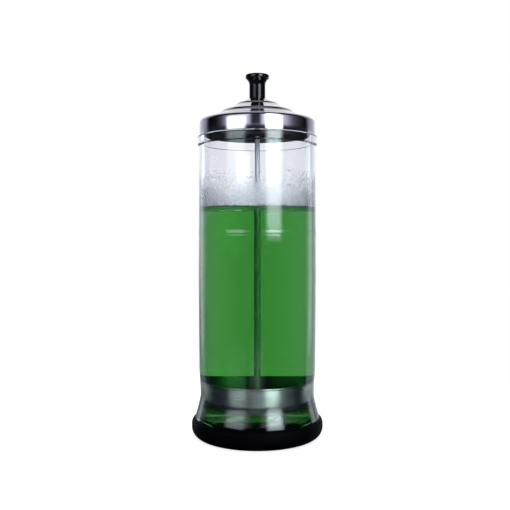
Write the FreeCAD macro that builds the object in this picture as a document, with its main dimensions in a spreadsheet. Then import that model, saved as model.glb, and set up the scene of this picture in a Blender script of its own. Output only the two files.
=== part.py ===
"""Salon disinfectant jar: a glass jar in a rubber foot, with a steel lid and a lift-out tray.

The origin is on the table, under the middle of the jar, and +Z is up. All sizes are in millimetres.
The lid with its seal and the lift (knob, rod and tray) come up out of the jar together, and the
lift swivels in the hole of the lid. Each piece is drawn in its own frame, with heights from its own
seat, and its Placement sets it on the piece that carries it.
"""
import FreeCAD, Part
import Sketcher
import math
import os

# Driving dimensions. Radii are measured from the jar's upright axis, heights from the piece's seat.
sizes = {
    # rubber foot, heights from the table
    "base_wall": 2.6,
    "base_undercut": 6.2,
    "base_side_bottom": 8.2,
    "base_side_top": 11.5,
    "base_lower_curve": 8.6,
    "base_upper_curve": 6.0,
    "base_height": 15.7,
    "base_floor": 3.0,
    "base_fit": 0.1,
    "base_recess_radius": 36.0,
    "base_recess_depth": 1.2,
    # glass jar, heights from the underside of the glass, walls outwards from the mouth's radius
    "mouth_radius": 43.0,
    "mouth_round": 1.2,
    "foot_wall": 6.9,
    "foot_round": 6.5,
    "foot_ring": 5.4,
    "foot_flare_curve": 120.0,
    "punt_depth": 3.5,
    "waist_wall": 2.55,
    "waist_height": 30.0,
    "lower_wall": 3.6,
    "lower_wall_height": 49.0,
    "lower_wall_curve": 220.0,
    "belly_wall": 4.25,
    "belly_height": 127.0,
    "neck_wall": 3.85,
    "jar_height": 237.7,
    "rim_wall": 5.1,
    "rim_depth": 7.8,
    "rim_round": 1.1,
    "floor_height": 8.5,
    "floor_round": 9.0,
    # steel lid, heights from the rim of the glass
    "lid_overlap": 3.6,
    "lid_wall": 0.8,
    "hem_reach": 5.0,
    "band_height": 10.5,
    "shoulder_inset": 2.2,
    "shoulder_rise": 2.8,
    "shoulder_curve": 3.2,
    "lower_step_radius": 29.8,
    "lower_tier_rise": 5.3,
    "lower_step": 1.5,
    "upper_step_radius": 17.5,
    "middle_tier_rise": 5.0,
    "upper_step": 1.3,
    "upper_tier_rise": 4.2,
    "step_lean": 0.9,
    "step_round": 0.4,
    "tier_curve": 60.0,
    "seat_margin": 0.6,
    # seal disc clipped over the edge of the lid's hem
    "seal_gap": 0.3,
    "seal_depth": 1.2,
    "seal_wall": 4.1,
    "seal_clip": 2.6,
    "seal_flange": 1.4,
    "seal_round": 0.6,
    "seal_web": 1.5,
    "seal_hole_radius": 12.0,
    # knob, heights from its seat on the lid
    "column_radius": 6.45,
    "column_height": 10.2,
    "flare": 3.05,
    "flare_height": 6.0,
    "flare_curve": 7.4,
    "crown_thickness": 3.6,
    "crown_dome": 0.5,
    "crown_round": 1.0,
    "crown_lower_round": 0.4,
    # threaded insert moulded into the knob
    "insert_radius": 3.6,
    "insert_length": 12.0,
    "groove_height": 4.5,
    "groove_width": 3.0,
    "groove_depth": 0.5,
    # lift rod and the hole it turns in
    "rod_radius": 2.0,
    "rod_gap": 0.08,
    "rod_chamfer": 0.4,
    "rod_engagement": 10.5,
    # washers and nuts on the rod
    "stem_play": 0.2,
    "washer_radius": 6.0,
    "washer_thickness": 1.0,
    "nut_flat": 3.5,
    "nut_corner_reach": 0.54,
    "nut_thickness": 3.2,
    "nut_chamfer": 0.45,
    # tray, heights from the underside of its floor
    "tray_lift": 13.0,
    "tray_gap": 3.2,
    "tray_height": 20.9,
    "tray_wall": 0.8,
    "tray_taper": 1.2,
    "tray_taper_height": 6.0,
    "tray_heel_round": 1.5,
    "roll_height": 1.8,
    "roll_curve": 1.0,
    "drain_radius": 3.0,
    "drain_ring_radius": 28.0,
    "drain_count": 8,
    "inner_drain_ring_radius": 15.0,
    "inner_drain_count": 4,
    # domed nut under the tray
    "cap_hex": 3.0,
    "cap_shoulder": 0.2,
    "cap_dome_height": 2.6,
    "cap_bore_depth": 4.0,
}

doc = FreeCAD.newDocument("DisinfectantJar")
sheet = doc.addObject("Spreadsheet::Sheet", "Sizes")
for row, (name, size) in enumerate(sizes.items(), start=1):
    sheet.set("A%d" % row, name)
    sheet.set("B%d" % row, str(size))
    sheet.setAlias("B%d" % row, name)
doc.recompute()

# Radii and heights that follow from the driving dimensions and are shared by several pieces.
foot_radius = "mouth_radius + foot_wall"
lid_radius = "mouth_radius + lid_overlap"
hem_radius = lid_radius + " - hem_reach"
nut_corner = "nut_flat + nut_corner_reach"
lower_step_height = "band_height + shoulder_rise + lower_tier_rise"
lower_step_top = lower_step_height + " + lower_step"
upper_step_height = lower_step_top + " + middle_tier_rise"
upper_step_top = upper_step_height + " + upper_step"
seat_height = upper_step_top + " + upper_tier_rise"

# Where each piece sits: the height of its own frame above the table.
glass_seat = "base_floor"
rim_seat = glass_seat + " + jar_height"
knob_seat = rim_seat + " + " + seat_height
tray_seat = glass_seat + " + floor_height + tray_lift"
tray_floor_top = tray_seat + " + tray_wall"
cap_nut_seat = tray_seat + " - washer_thickness - cap_hex - cap_dome_height"
stem_washer_seat = knob_seat + " - lid_wall - stem_play - washer_thickness"
stem_nut_seat = stem_washer_seat + " - nut_thickness"
rod_foot = tray_seat + " - washer_thickness - cap_bore_depth"


def amount(formula):
    """Adds up a formula such as "jar_height - rim_depth"."""
    total = 0.0
    sign = 1.0
    for word in formula.split():
        if word in ("+", "-"):
            sign = -1.0 if word == "-" else 1.0
        else:
            total += sign * sizes[word]
    return total


def cells(formula):
    """Writes the same formula with the names of the sheet's cells."""
    return " ".join("Sizes." + word if word in sizes else word for word in formula.split())


def new_body(label, seat):
    """A body whose own frame stands at the height that the formula gives."""
    body = doc.addObject("PartDesign::Body", label)
    body.Label = label
    body.Placement = FreeCAD.Placement()
    if seat != "table":
        body.setExpression("Placement.Base.z", cells(seat))
    return body


def origin_piece(body, role):
    """The plane or axis of the body's own origin that has this role."""
    return next(piece for piece in body.Origin.OriginFeatures if piece.Role == role)


def arc_between(start, end, radius, side):
    """The arc from start to end that bulges to the right of that way, or is hollow there."""
    chord = end - start
    left = FreeCAD.Vector(-chord.y, chord.x, 0) / chord.Length
    reach = math.sqrt(radius ** 2 - chord.Length ** 2 / 4)
    centre = start + chord * 0.5 + left * (reach if side == "bulge" else -reach)
    circle = Part.Circle(centre, FreeCAD.Vector(0, 0, 1), radius)
    start_angle = math.atan2(start.y - centre.y, start.x - centre.x)
    end_angle = math.atan2(end.y - centre.y, end.x - centre.x)
    if side == "bulge":
        return Part.ArcOfCircle(circle, start_angle, end_angle)
    return Part.ArcOfCircle(circle, end_angle, start_angle)


def fix_corner(sketch, edge, vertex, across, up):
    """Ties a sketch point to its formulas, or to the axis or the seat of the piece."""
    if across == "axis":
        sketch.addConstraint(Sketcher.Constraint("PointOnObject", edge, vertex, -2))
    else:
        number = sketch.addConstraint(
            Sketcher.Constraint("DistanceX", -1, 1, edge, vertex, amount(across)))
        sketch.setExpression("Constraints[%d]" % number, cells(across))
    if up == "seat":
        sketch.addConstraint(Sketcher.Constraint("PointOnObject", edge, vertex, -1))
    else:
        number = sketch.addConstraint(
            Sketcher.Constraint("DistanceY", -1, 1, edge, vertex, amount(up)))
        sketch.setExpression("Constraints[%d]" % number, cells(up))


def half_section(body, corners):
    """Sketches a closed half section, anticlockwise, on the upright XZ plane of the body.

    A corner is (radius, height). With two more items the edge that arrives there is an arc, "bulge"
    or "hollow" as seen from outside, with the formula of its radius, or "axis" if it is a dome.
    """
    sketch = body.newObject("Sketcher::SketchObject", body.Label + "_section")
    sketch.AttachmentSupport = [(origin_piece(body, "XZ_Plane"), "")]
    sketch.MapMode = "FlatFace"
    spots = []
    for corner in corners:
        across = 0.0 if corner[0] == "axis" else amount(corner[0])
        up = 0.0 if corner[1] == "seat" else amount(corner[1])
        spots.append(FreeCAD.Vector(across, up, 0))
    ends = []
    for index, corner in enumerate(corners):
        start = spots[index - 1]
        end = spots[index]
        if len(corner) == 2:
            edge = sketch.addGeometry(Part.LineSegment(start, end), False)
            ends.append((edge, 1, 2))
            continue
        side, curve = corner[2:]
        width = max(start.x, end.x)
        rise = abs(end.y - start.y)
        radius = (width ** 2 + rise ** 2) / (2 * rise) if curve == "axis" else amount(curve)
        edge = sketch.addGeometry(arc_between(start, end, radius, side), False)
        ends.append((edge, 1, 2) if side == "bulge" else (edge, 2, 1))
        if curve == "axis":
            sketch.addConstraint(Sketcher.Constraint("PointOnObject", edge, 3, -2))
        else:
            number = sketch.addConstraint(Sketcher.Constraint("Radius", edge, radius))
            sketch.setExpression("Constraints[%d]" % number, cells(curve))
    for index, corner in enumerate(corners):
        edge, leaving, arriving = ends[index]
        next_edge, next_leaving, next_arriving = ends[(index + 1) % len(ends)]
        sketch.addConstraint(
            Sketcher.Constraint("Coincident", edge, arriving, next_edge, next_leaving))
        fix_corner(sketch, edge, arriving, corner[0], corner[1])
    return sketch


def revolve(body, corners):
    """Turns the half section about the upright axis."""
    sketch = half_section(body, corners)
    turned = body.newObject("PartDesign::Revolution", body.Label + "_turned")
    turned.Profile = sketch
    turned.ReferenceAxis = (sketch, ["V_Axis"])
    turned.Angle = 360
    doc.recompute()
    return turned


def rings_at(shape, corners):
    """Names of the circular edges about the axis at these corners."""
    names = []
    for across, up in corners:
        radius = amount(across)
        height = 0.0 if up == "seat" else amount(up)
        for number, edge in enumerate(shape.Edges, start=1):
            if edge.Degenerated or not isinstance(edge.Curve, Part.Circle):
                continue
            ring = edge.Curve
            if abs(ring.Radius - radius) < 1e-4 and abs(ring.Center.z - height) < 1e-4:
                names.append("Edge%d" % number)
    return names


def round_rings(body, base, corners, radius):
    """Rounds the circular edges at these corners."""
    number = len([piece for piece in body.Group if piece.isDerivedFrom("PartDesign::Fillet")])
    fillet = body.newObject("PartDesign::Fillet", "%s_round_%d" % (body.Label, number + 1))
    fillet.Base = (base, rings_at(base.Shape, corners))
    fillet.Radius = amount(radius)
    fillet.setExpression("Radius", cells(radius))
    doc.recompute()
    return fillet


def cut_pattern(body, draw, label, count, count_cell=None):
    """Cuts a sketched shape up through the whole piece and repeats it round the axis."""
    sketch = body.newObject("Sketcher::SketchObject", label + "_outline")
    sketch.AttachmentSupport = [(origin_piece(body, "XY_Plane"), "")]
    sketch.MapMode = "FlatFace"
    draw(sketch)
    before = body.Shape.Volume
    pocket = body.newObject("PartDesign::Pocket", label)
    pocket.Profile = sketch
    pocket.Type = 1
    pocket.Reversed = True
    doc.recompute()
    if not pocket.Shape.Volume < before:
        raise RuntimeError(label + " cut nothing")
    pattern = body.newObject("PartDesign::PolarPattern", label + "_pattern")
    pattern.Originals = [pocket]
    pattern.Axis = (origin_piece(body, "Z_Axis"), [""])
    pattern.Angle = 360
    pattern.Occurrences = count
    if count_cell:
        pattern.setExpression("Occurrences", cells(count_cell))
    body.Tip = pattern
    doc.recompute()
    return pattern


def draw_flat(sketch):
    """Everything outside one flat of a hexagon nut."""
    reach = nut_corner + " + nut_flat"
    half_width = amount(nut_corner)
    inner = amount("nut_flat")
    outer = amount(reach)
    spots = [(inner, -half_width), (outer, -half_width), (outer, half_width), (inner, half_width)]
    for index, spot in enumerate(spots):
        start = FreeCAD.Vector(*spots[index - 1], 0)
        sketch.addGeometry(Part.LineSegment(start, FreeCAD.Vector(*spot, 0)), False)
    for index in range(4):
        sketch.addConstraint(Sketcher.Constraint("Coincident", index, 2, (index + 1) % 4, 1))
    for kind, index in (("Horizontal", 1), ("Vertical", 2), ("Horizontal", 3)):
        sketch.addConstraint(Sketcher.Constraint(kind, index))
    sketch.addConstraint(Sketcher.Constraint("Symmetric", 0, 1, 0, 2, -1))
    for kind, edge, formula in (
            ("DistanceX", 0, "nut_flat"), ("DistanceX", 1, reach), ("DistanceY", 2, nut_corner)):
        number = sketch.addConstraint(Sketcher.Constraint(kind, -1, 1, edge, 2, amount(formula)))
        sketch.setExpression("Constraints[%d]" % number, cells(formula))


def drain_hole(ring_radius):
    """A sketcher of one drain hole on the ring of this radius."""
    def draw(sketch):
        centre = FreeCAD.Vector(amount(ring_radius), 0, 0)
        radius = amount("drain_radius")
        sketch.addGeometry(Part.Circle(centre, FreeCAD.Vector(0, 0, 1), radius), False)
        sketch.addConstraint(Sketcher.Constraint("PointOnObject", 0, 3, -1))
        number = sketch.addConstraint(
            Sketcher.Constraint("DistanceX", -1, 1, 0, 3, amount(ring_radius)))
        sketch.setExpression("Constraints[%d]" % number, cells(ring_radius))
        number = sketch.addConstraint(Sketcher.Constraint("Radius", 0, radius))
        sketch.setExpression("Constraints[%d]" % number, cells("drain_radius"))
    return draw


def make_rubber_base():
    """Rubber cup that the foot of the glass is pressed into. It stands on its outer ring."""
    body = new_body("rubber_base", "table")
    cup_radius = foot_radius + " + base_fit"
    base_radius = cup_radius + " + base_wall"
    contact_radius = base_radius + " - base_undercut"
    heel_round = "foot_round + base_fit"
    revolve(body, [
        ("axis", "base_recess_depth"),
        ("base_recess_radius", "base_recess_depth"),
        ("base_recess_radius", "seat"),
        (contact_radius, "seat"),
        (base_radius, "base_side_bottom", "bulge", "base_lower_curve"),
        (base_radius, "base_side_top"),
        (cup_radius, "base_height", "bulge", "base_upper_curve"),
        (cup_radius, "base_floor + " + heel_round),
        (foot_radius + " - foot_round", "base_floor", "hollow", heel_round),
        ("axis", "base_floor"),
    ])
    return body


def make_glass_jar():
    """Thick pressed glass: flared foot with a punt, a faintly bellied wall and a beaded rim."""
    body = new_body("glass_jar", glass_seat)
    rim_bottom = "jar_height - rim_depth"
    rim_radius = "mouth_radius + rim_wall"
    punt_radius = foot_radius + " - foot_round - foot_ring"
    turned = revolve(body, [
        ("axis", "punt_depth"),
        (punt_radius, "seat", "hollow", "axis"),
        (foot_radius, "seat"),
        (foot_radius, "base_height - base_floor"),
        ("mouth_radius + waist_wall", "waist_height", "hollow", "foot_flare_curve"),
        ("mouth_radius + lower_wall", "lower_wall_height", "hollow", "lower_wall_curve"),
        ("mouth_radius + belly_wall", "belly_height"),
        ("mouth_radius + neck_wall", rim_bottom),
        (rim_radius, rim_bottom),
        (rim_radius, "jar_height"),
        ("mouth_radius", "jar_height"),
        ("mouth_radius", "floor_height"),
        ("axis", "floor_height"),
    ])
    bead = round_rings(body, turned, [(rim_radius, rim_bottom), (rim_radius, "jar_height")], "rim_round")
    mouth = round_rings(body, bead, [("mouth_radius", "jar_height")], "mouth_round")
    foot = round_rings(body, mouth, [(foot_radius, "seat")], "foot_round")
    round_rings(body, foot, [("mouth_radius", "floor_height")], "floor_round")
    return body


def under(corner, side):
    """The inner corner of the sheet below an outer one: straight under it, or inside a riser too."""
    across, up = corner
    if side == "wall":
        across += " - lid_wall"
    return (across, up + " - lid_wall")


def make_lid_shell():
    """Spun steel lid: a straight band, three hollow tiers with risers, and an inturned hem."""
    body = new_body("lid_shell", rim_seat)
    shoulder = (lid_radius + " - shoulder_inset", "band_height + shoulder_rise")
    lower_foot = ("lower_step_radius", lower_step_height)
    lower_top = ("lower_step_radius - step_lean", lower_step_top)
    upper_foot = ("upper_step_radius", upper_step_height)
    upper_top = ("upper_step_radius - step_lean", upper_step_top)
    seat_edge = ("column_radius + seat_margin", seat_height)
    hole_radius = "rod_radius + rod_gap"
    outside = [
        (lid_radius, "seat"),
        (lid_radius, "band_height"),
        shoulder + ("bulge", "shoulder_curve"),
        lower_foot + ("hollow", "tier_curve"),
        lower_top,
        upper_foot + ("hollow", "tier_curve"),
        upper_top,
        seat_edge + ("hollow", "tier_curve"),
        (hole_radius, seat_height),
    ]
    inner_tier = ("bulge", "tier_curve + lid_wall")
    inside = [
        (hole_radius, seat_height + " - lid_wall"),
        under(seat_edge, "seat"),
        under(upper_top, "wall") + inner_tier,
        under(upper_foot, "wall"),
        under(lower_top, "wall") + inner_tier,
        under(lower_foot, "wall"),
        under(shoulder, "seat") + inner_tier,
        (lid_radius + " - lid_wall", "band_height", "hollow", "shoulder_curve - lid_wall"),
        (lid_radius + " - lid_wall", "lid_wall"),
        (hem_radius, "lid_wall"),
    ]
    turned = revolve(body, [(hem_radius, "seat")] + outside + inside)
    bends = [(lid_radius, "seat"), lower_foot, lower_top, upper_foot, upper_top]
    round_rings(body, turned, bends, "step_round")
    return body


def make_lid_seal():
    """Soft disc clipped over the edge of the hem: its flange is inside the lid, its plug in the mouth."""
    body = new_body("lid_seal", rim_seat + " - seal_depth")
    plug_radius = "mouth_radius - seal_gap"
    inner_radius = plug_radius + " - seal_wall"
    flange_radius = hem_radius + " + seal_clip"
    flange_top = "seal_depth + lid_wall + seal_flange"
    turned = revolve(body, [
        ("seal_hole_radius", "seat"),
        (plug_radius, "seat"),
        (plug_radius, "seal_depth"),
        (hem_radius, "seal_depth"),
        (hem_radius, "seal_depth + lid_wall"),
        (flange_radius, "seal_depth + lid_wall"),
        (flange_radius, flange_top),
        (inner_radius, flange_top),
        (inner_radius, "seal_web"),
        ("seal_hole_radius", "seal_web"),
    ])
    round_rings(body, turned, [(plug_radius, "seat")], "seal_round")
    return body


def make_knob():
    """Moulded knob: a slim column that flares into a domed crown, moulded round its insert."""
    body = new_body("knob", knob_seat)
    groove_top = "groove_height + groove_width"
    groove_radius = "insert_radius - groove_depth"
    crown_radius = "column_radius + flare"
    crown_bottom = "column_height + flare_height"
    crown_edge = crown_bottom + " + crown_thickness - crown_dome"
    turned = revolve(body, [
        ("insert_radius", "seat"),
        ("column_radius", "seat"),
        ("column_radius", "column_height"),
        (crown_radius, crown_bottom, "hollow", "flare_curve"),
        (crown_radius, crown_edge),
        ("axis", crown_edge + " + crown_dome", "bulge", "axis"),
        ("axis", "insert_length"),
        ("insert_radius", "insert_length"),
        ("insert_radius", groove_top),
        (groove_radius, groove_top),
        (groove_radius, "groove_height"),
        ("insert_radius", "groove_height"),
    ])
    crown = round_rings(body, turned, [(crown_radius, crown_edge)], "crown_round")
    round_rings(body, crown, [(crown_radius, crown_bottom)], "crown_lower_round")
    return body


def make_knob_insert():
    """Brass bush with a locking groove, threaded for the rod."""
    body = new_body("knob_insert", knob_seat)
    groove_top = "groove_height + groove_width"
    groove_radius = "insert_radius - groove_depth"
    revolve(body, [
        ("rod_radius", "seat"),
        ("insert_radius", "seat"),
        ("insert_radius", "groove_height"),
        (groove_radius, "groove_height"),
        (groove_radius, groove_top),
        ("insert_radius", groove_top),
        ("insert_radius", "insert_length"),
        ("rod_radius", "insert_length"),
    ])
    return body


def make_lift_rod():
    """Steel rod from the domed nut under the tray up into the knob."""
    body = new_body("lift_rod", rod_foot)
    length = ("jar_height + " + seat_height + " + rod_engagement"
              " - floor_height - tray_lift + washer_thickness + cap_bore_depth")
    revolve(body, [
        ("axis", "seat"),
        ("rod_radius - rod_chamfer", "seat"),
        ("rod_radius", "rod_chamfer"),
        ("rod_radius", length + " - rod_chamfer"),
        ("rod_radius - rod_chamfer", length),
        ("axis", length),
    ])
    return body


def make_washer(label, seat):
    body = new_body(label, seat)
    revolve(body, [
        ("rod_radius", "seat"),
        ("washer_radius", "seat"),
        ("washer_radius", "washer_thickness"),
        ("rod_radius", "washer_thickness"),
    ])
    return body


def make_hex_nut(label, seat):
    """Hexagon nut with both faces chamfered."""
    body = new_body(label, seat)
    revolve(body, [
        ("rod_radius", "seat"),
        (nut_corner + " - nut_chamfer", "seat"),
        (nut_corner, "nut_chamfer"),
        (nut_corner, "nut_thickness - nut_chamfer"),
        (nut_corner + " - nut_chamfer", "nut_thickness"),
        ("rod_radius", "nut_thickness"),
    ])
    cut_pattern(body, draw_flat, label + "_flat", 6)
    return body


def make_cap_nut():
    """Domed nut that closes the lower end of the rod, dome down."""
    body = new_body("tray_cap_nut", cap_nut_seat)
    hex_top = "cap_dome_height + cap_hex"
    revolve(body, [
        ("axis", "seat"),
        ("nut_flat - cap_shoulder", "cap_dome_height", "bulge", "axis"),
        (nut_corner + " - nut_chamfer", "cap_dome_height"),
        (nut_corner, "cap_dome_height + nut_chamfer"),
        (nut_corner, hex_top + " - nut_chamfer"),
        (nut_corner + " - nut_chamfer", hex_top),
        ("rod_radius", hex_top),
        ("rod_radius", hex_top + " - cap_bore_depth"),
        ("axis", hex_top + " - cap_bore_depth"),
    ])
    cut_pattern(body, draw_flat, "tray_cap_nut_flat", 6)
    return body


def make_tray():
    """Shallow pan with a rolled rim, a tapered heel and two rings of drain holes in its floor."""
    body = new_body("tray", tray_seat)
    tray_radius = "mouth_radius - tray_gap"
    inner_radius = tray_radius + " - tray_wall"
    heel_radius = tray_radius + " - tray_taper"
    inner_heel_radius = inner_radius + " - tray_taper"
    turned = revolve(body, [
        ("rod_radius", "seat"),
        (heel_radius, "seat"),
        (tray_radius, "tray_taper_height"),
        (tray_radius, "tray_height - roll_height"),
        (tray_radius, "tray_height", "bulge", "roll_curve"),
        (inner_radius, "tray_height"),
        (inner_radius, "tray_taper_height"),
        (inner_heel_radius, "tray_wall"),
        ("rod_radius", "tray_wall"),
    ])
    heel = round_rings(body, turned, [(heel_radius, "seat")], "tray_heel_round")
    round_rings(body, heel, [(inner_heel_radius, "tray_wall")], "tray_heel_round - tray_wall")
    cut_pattern(
        body, drain_hole("drain_ring_radius"), "outer_drain", sizes["drain_count"], "drain_count")
    cut_pattern(
        body, drain_hole("inner_drain_ring_radius"), "inner_drain",
        sizes["inner_drain_count"], "inner_drain_count")
    return body


pieces = [
    make_rubber_base(),
    make_glass_jar(),
    make_lid_shell(),
    make_lid_seal(),
    make_knob(),
    make_knob_insert(),
    make_lift_rod(),
    make_washer("stem_washer", stem_washer_seat),
    make_hex_nut("stem_nut", stem_nut_seat),
    make_tray(),
    make_washer("tray_upper_washer", tray_floor_top),
    make_hex_nut("tray_nut", tray_floor_top + " + washer_thickness"),
    make_washer("tray_lower_washer", tray_seat + " - washer_thickness"),
    make_cap_nut(),
]
doc.recompute()

for item in doc.Objects:
    if "Invalid" in item.State or "Error" in item.State:
        raise RuntimeError("%s failed: %s" % (item.Label, item.State))
for piece in pieces:
    if piece.Shape.isNull() or not piece.Shape.isValid() or len(piece.Shape.Solids) != 1:
        raise RuntimeError(piece.Label + " is not one valid solid")

os.makedirs("parts", exist_ok=True)
for piece in pieces:
    piece.Shape.exportStep("parts/%s.step" % piece.Label)
    print("%-18s volume %9.1f" % (piece.Label, piece.Shape.Volume))
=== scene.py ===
import math
import random
import bpy
from mathutils import Matrix, Vector


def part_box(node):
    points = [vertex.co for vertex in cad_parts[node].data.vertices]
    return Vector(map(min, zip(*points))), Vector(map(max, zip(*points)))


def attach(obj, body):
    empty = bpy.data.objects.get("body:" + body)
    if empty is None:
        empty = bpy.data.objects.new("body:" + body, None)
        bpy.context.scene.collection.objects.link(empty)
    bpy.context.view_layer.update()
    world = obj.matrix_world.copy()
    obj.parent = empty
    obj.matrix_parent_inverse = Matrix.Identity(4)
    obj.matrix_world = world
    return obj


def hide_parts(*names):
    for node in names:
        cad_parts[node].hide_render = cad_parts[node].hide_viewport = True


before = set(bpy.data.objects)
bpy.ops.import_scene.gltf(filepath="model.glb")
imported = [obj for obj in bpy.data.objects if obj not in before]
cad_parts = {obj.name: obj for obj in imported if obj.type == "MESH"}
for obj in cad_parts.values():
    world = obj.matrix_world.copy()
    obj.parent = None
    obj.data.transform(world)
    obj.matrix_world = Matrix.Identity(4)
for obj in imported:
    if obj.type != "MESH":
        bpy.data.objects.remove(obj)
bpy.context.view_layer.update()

# Salon disinfectant jar with its steel lid, lift-out tray and green solution.
# Sizes in the dictionaries are millimetres, the scene itself is in metres.
mm = 0.001
print("frame loaded:", len(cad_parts), "CAD pieces")


# modelling helpers

def selectNone():
    if bpy.context.object and bpy.context.object.mode != "OBJECT":
        bpy.ops.object.mode_set(mode="OBJECT")
    bpy.ops.object.select_all(action="DESELECT")


# points of an outline, (radius, height) pairs. A third item is the radius of the arc that
# arrives there: above zero it bulges to the right of travel, below zero it is hollow.
def outlinePoints(corners, stepAngle=6.0):
    points = [Vector(corners[0][:2])]
    for corner in corners[1:]:
        start, end = points[-1], Vector(corner[:2])
        if len(corner) == 2:
            points.append(end)
            continue
        curve = abs(corner[2])
        chord = end - start
        left = Vector((-chord.y, chord.x)).normalized()
        reach = math.sqrt(max(curve ** 2 - chord.length ** 2 / 4, 0.0))
        centre = (start + end) / 2 + left * (reach if corner[2] > 0 else -reach)
        fromAngle = math.atan2(start.y - centre.y, start.x - centre.x)
        sweep = 2 * math.asin(min(1.0, chord.length / (2 * curve)))
        if corner[2] < 0:
            sweep = -sweep
        count = max(3, round(abs(math.degrees(sweep)) / stepAngle))
        for number in range(1, count):
            angle = fromAngle + sweep * number / count
            points.append(centre + curve * Vector((math.cos(angle), math.sin(angle))))
        points.append(end)
    return points


# the two ends of the arc that rounds a corner, given the points before and after it
def roundedCorner(before, corner, after, radius):
    middle = Vector(corner)
    toBefore = (Vector(before) - middle).normalized()
    toAfter = (Vector(after) - middle).normalized()
    reach = radius / math.tan(toBefore.angle(toAfter) / 2)
    turn = toAfter.x * toBefore.y - toAfter.y * toBefore.x
    first, last = middle + toBefore * reach, middle + toAfter * reach
    return [tuple(first), tuple(last) + (radius if turn > 0 else -radius,)]


# a ring is extruded from point to point of the outline, as on a lathe
def turnPiece(name, corners, steps=192, sharpAngle=30.0, stepAngle=6.0, pocket=()):
    corners = list(pocket) + corners
    points = outlinePoints(corners, stepAngle)
    closed = (points[0] - points[-1]).length < 1e-6
    startsAtPole = points[0].x < 1e-6
    if startsAtPole:
        points = points[1:]
    selectNone()
    radius, height = points[0] * mm
    poleHeight = corners[0][1] * mm
    bpy.ops.mesh.primitive_circle_add(vertices=steps, radius=radius, location=(0, 0, height))
    piece = bpy.context.object
    piece.name = name
    piece.data.name = name
    bpy.ops.object.transform_apply(location=True, rotation=False, scale=False)
    bpy.ops.object.mode_set(mode="EDIT")
    bpy.ops.mesh.select_all(action="SELECT")
    if startsAtPole:
        bpy.ops.mesh.extrude_edges_move(TRANSFORM_OT_translate={"value": (0, 0, poleHeight - height)})
        bpy.ops.mesh.merge(type="CENTER")
        bpy.ops.object.mode_set(mode="OBJECT")
        for vertex in piece.data.vertices:
            vertex.select = Vector(vertex.co.xy).length > radius * 0.5
        for edge in piece.data.edges:
            edge.select = all(piece.data.vertices[i].select for i in edge.vertices)
        bpy.ops.object.mode_set(mode="EDIT")
    for point in points[1:]:
        nextRadius, nextHeight = point * mm
        bpy.ops.mesh.extrude_edges_move(TRANSFORM_OT_translate={"value": (0, 0, nextHeight - height)})
        if nextRadius < 1e-7:
            bpy.ops.mesh.merge(type="CENTER")
        elif abs(nextRadius - radius) > 1e-8:
            scale = nextRadius / radius
            bpy.ops.transform.resize(value=(scale, scale, 1), center_override=(0, 0, nextHeight))
        radius, height = nextRadius, nextHeight
    bpy.ops.mesh.select_all(action="SELECT")
    if closed:
        bpy.ops.mesh.remove_doubles(threshold=1e-6)
    bpy.ops.mesh.normals_make_consistent(inside=False)
    bpy.ops.object.mode_set(mode="OBJECT")
    bpy.ops.object.shade_smooth_by_angle(angle=math.radians(sharpAngle))
    return piece


# copies of one small piece, each placed by its matrix, joined into one mesh
def scatterCopies(name, model, places):
    copies = []
    for place in places:
        copy = model.copy()
        copy.data = model.data.copy()
        copy.data.transform(place)
        bpy.context.scene.collection.objects.link(copy)
        copies.append(copy)
    bpy.data.objects.remove(model)
    selectNone()
    for copy in copies:
        copy.select_set(True)
    bpy.context.view_layer.objects.active = copies[0]
    bpy.ops.object.join()
    joined = bpy.context.object
    joined.name = name
    joined.data.name = name
    return joined


def placePiece(piece, body, slot, material, *nodes):
    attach(piece, body)
    if nodes:
        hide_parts(*nodes)
    piece.data.materials.clear()
    piece.data.materials.append(material)


# camera

camera = {
    "eyeDistance": 606.0,
    "eyeHeight": 162.1,
    "lens": 52.94,
    "shift": (-0.0045, -0.0412),
}
bpy.ops.object.camera_add(
    location=(0, -camera["eyeDistance"] * mm, camera["eyeHeight"] * mm), rotation=(math.radians(90), 0, 0))
eye = bpy.context.object
eye.data.lens = camera["lens"]
eye.data.shift_x, eye.data.shift_y = camera["shift"]
bpy.context.scene.camera = eye
print("camera ready")


# shader groups

def newGroup(name, inputs, outputs):
    group = bpy.data.node_groups.new(name, "ShaderNodeTree")
    for label, kind, value in inputs:
        socket = group.interface.new_socket(label, in_out="INPUT", socket_type=kind)
        if value is not None:
            socket.default_value = value
    for label, kind in outputs:
        group.interface.new_socket(label, in_out="OUTPUT", socket_type=kind)
    return group, group.nodes.new("NodeGroupInput"), group.nodes.new("NodeGroupOutput")


def mathNode(tree, operation, first, second=None, third=None):
    node = tree.nodes.new("ShaderNodeMath")
    node.operation = operation
    for index, value in enumerate((first, second, third)):
        if value is None:
            continue
        if isinstance(value, (int, float)):
            node.inputs[index].default_value = value
        else:
            tree.links.new(value, node.inputs[index])
    return node.outputs[0]


# a smooth change from low to high while the value goes from fromLow to fromHigh
def rampBetween(tree, value, low, high, fromLow=0.0, fromHigh=1.0):
    node = tree.nodes.new("ShaderNodeMapRange")
    node.interpolation_type = "SMOOTHSTEP"
    tree.links.new(value, node.inputs["Value"])
    node.inputs["From Min"].default_value = fromLow
    node.inputs["From Max"].default_value = fromHigh
    node.inputs["To Min"].default_value = low
    node.inputs["To Max"].default_value = high
    return node.outputs["Result"]


def mixColours(tree, factor, first, second, blend="MIX"):
    node = tree.nodes.new("ShaderNodeMix")
    node.data_type = "RGBA"
    node.blend_type = blend
    for socket, value in ((node.inputs[0], factor), (node.inputs[6], first), (node.inputs[7], second)):
        if isinstance(value, bpy.types.NodeSocket):
            tree.links.new(value, socket)
        else:
            socket.default_value = value
    return node.outputs[2]


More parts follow.
